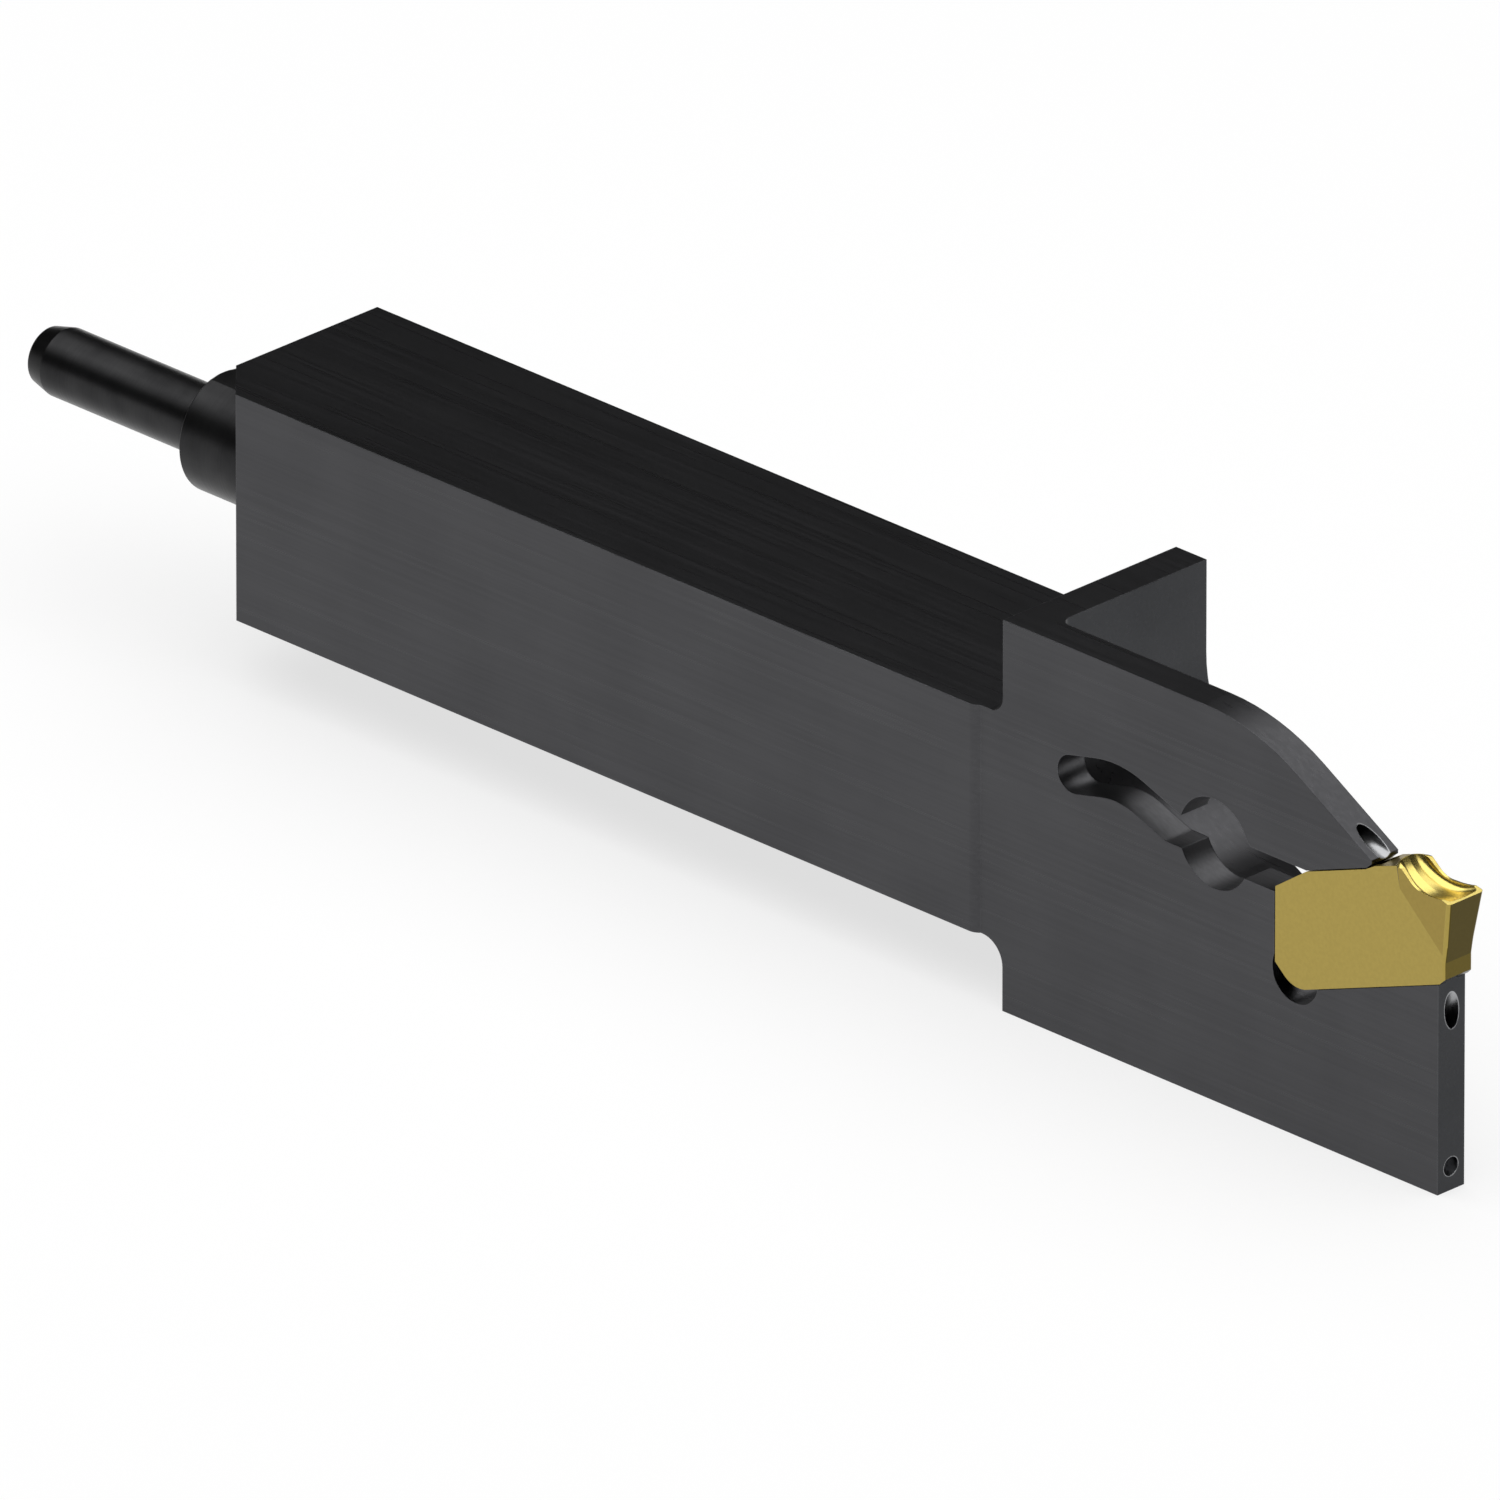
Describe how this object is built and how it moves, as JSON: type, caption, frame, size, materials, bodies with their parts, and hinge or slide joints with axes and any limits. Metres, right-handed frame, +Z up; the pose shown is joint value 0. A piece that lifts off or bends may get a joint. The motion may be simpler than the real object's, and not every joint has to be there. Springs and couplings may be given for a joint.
{
  "type": "parting tool holder",
  "caption": "Square-shank lathe tool holder with an upright blade that clamps a coated parting insert by spring force and carries coolant through a rear nipple.",
  "frame": {"origin": "on the underside of the shank, at its rear end face, on its centre line", "axes": "+X along the shank to the cutting end, +Y to the back of the holder, +Z up; the cutting edge stands at the height of the shank's top"},
  "size_m": [0.2106, 0.0251, 0.043],
  "materials": {
    "holder_steel": "black oxide",
    "coated_carbide": "gold coated",
    "nipple_steel": "black oxide, turned",
    "seal_rubber": "matte",
    "plug_steel": "ground"
  },
  "bodies": {
    "root": {"holder_body": "holder_steel", "cutting_insert": "coated_carbide", "coolant_nipple": "nipple_steel", "nipple_seal": "seal_rubber", "front_channel_plug": "plug_steel", "riser_channel_plug": "plug_steel"}
  },
  "joints": []
}
